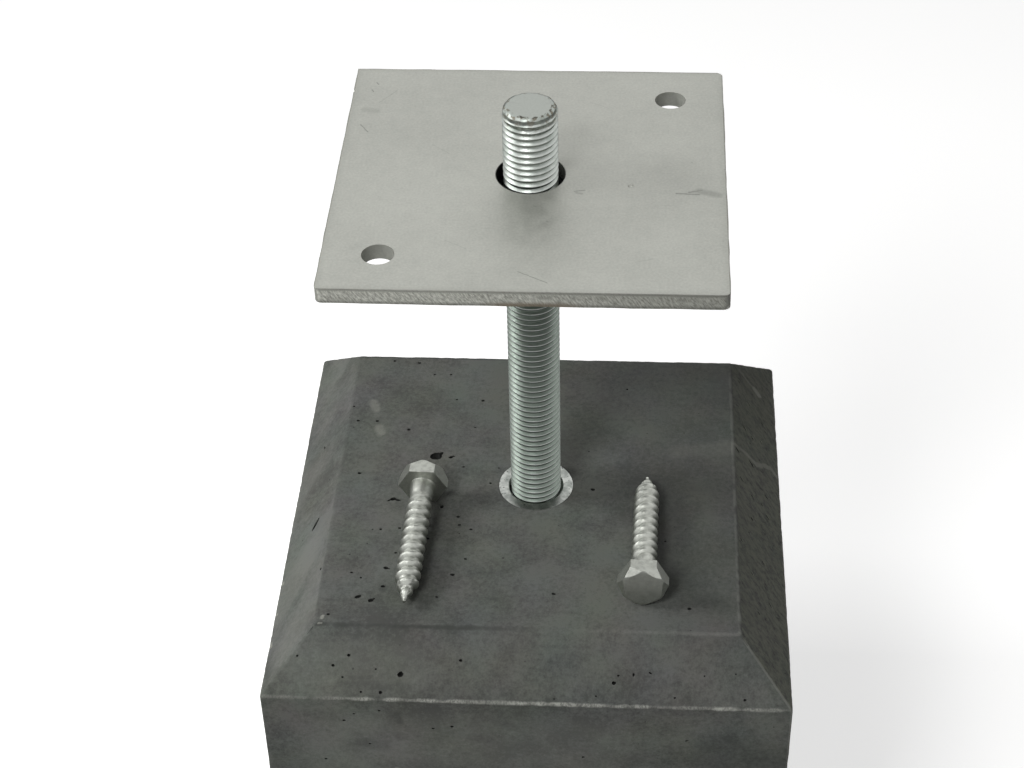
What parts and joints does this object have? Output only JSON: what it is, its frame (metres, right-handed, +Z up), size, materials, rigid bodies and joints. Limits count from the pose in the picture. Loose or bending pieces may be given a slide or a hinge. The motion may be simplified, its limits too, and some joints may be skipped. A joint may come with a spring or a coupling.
{
  "type": "concrete post footing",
  "caption": "Square concrete footing with a bevelled head, a cast-in socket, a threaded rod, a height-adjustable steel post plate and its loose coach screws.",
  "frame": {"origin": "centre of the foot of the concrete block", "axes": "+Z up along the threaded rod, +Y away from the viewer of the picture, +X to the viewer's right"},
  "size_m": [0.2, 0.2, 0.38],
  "materials": {
    "cast_concrete": "dark grey cast concrete, smooth from the mould, with pinholes",
    "worn_zinc": "dull worn zinc plating",
    "bare_steel": "plain steel bar",
    "bright_zinc": "bright bluish zinc plating",
    "galvanised_plate": "dull galvanised sheet, sheared edges",
    "galvanised_screw": "pale hot-dip galvanised"
  },
  "bodies": {
    "footing": {"concrete_block": "cast_concrete", "threaded_socket": "worn_zinc", "socket_cross_bar": "bare_steel", "threaded_rod": "bright_zinc", "coach_screw_left": "galvanised_screw", "coach_screw_right": "galvanised_screw"},
    "washer": {"levelling_washer": "bright_zinc"},
    "nut": {"levelling_nut": "bright_zinc"},
    "plate": {"post_plate": "galvanised_plate"}
  },
  "joints": [
    {"name": "plate_height", "type": "slide", "parent": "footing", "child": "washer", "axis": [0, 0, 1], "range_m": [-0.125, 0.0275]},
    {"name": "nut_turn", "type": "hinge", "parent": "washer", "child": "nut", "pos_m": [0, 0, 0.334], "axis": [0, 0, 1], "range_deg": [-18010, 3970]},
    {"name": "plate_turn", "type": "hinge", "parent": "washer", "child": "plate", "pos_m": [0, 0, 0.348], "axis": [0, 0, 1], "continuous": true}
  ],
  "couplings": [
    {"joint": "nut_turn", "follows": "plate_height", "rad_per_m": 2513.3}
  ]
}
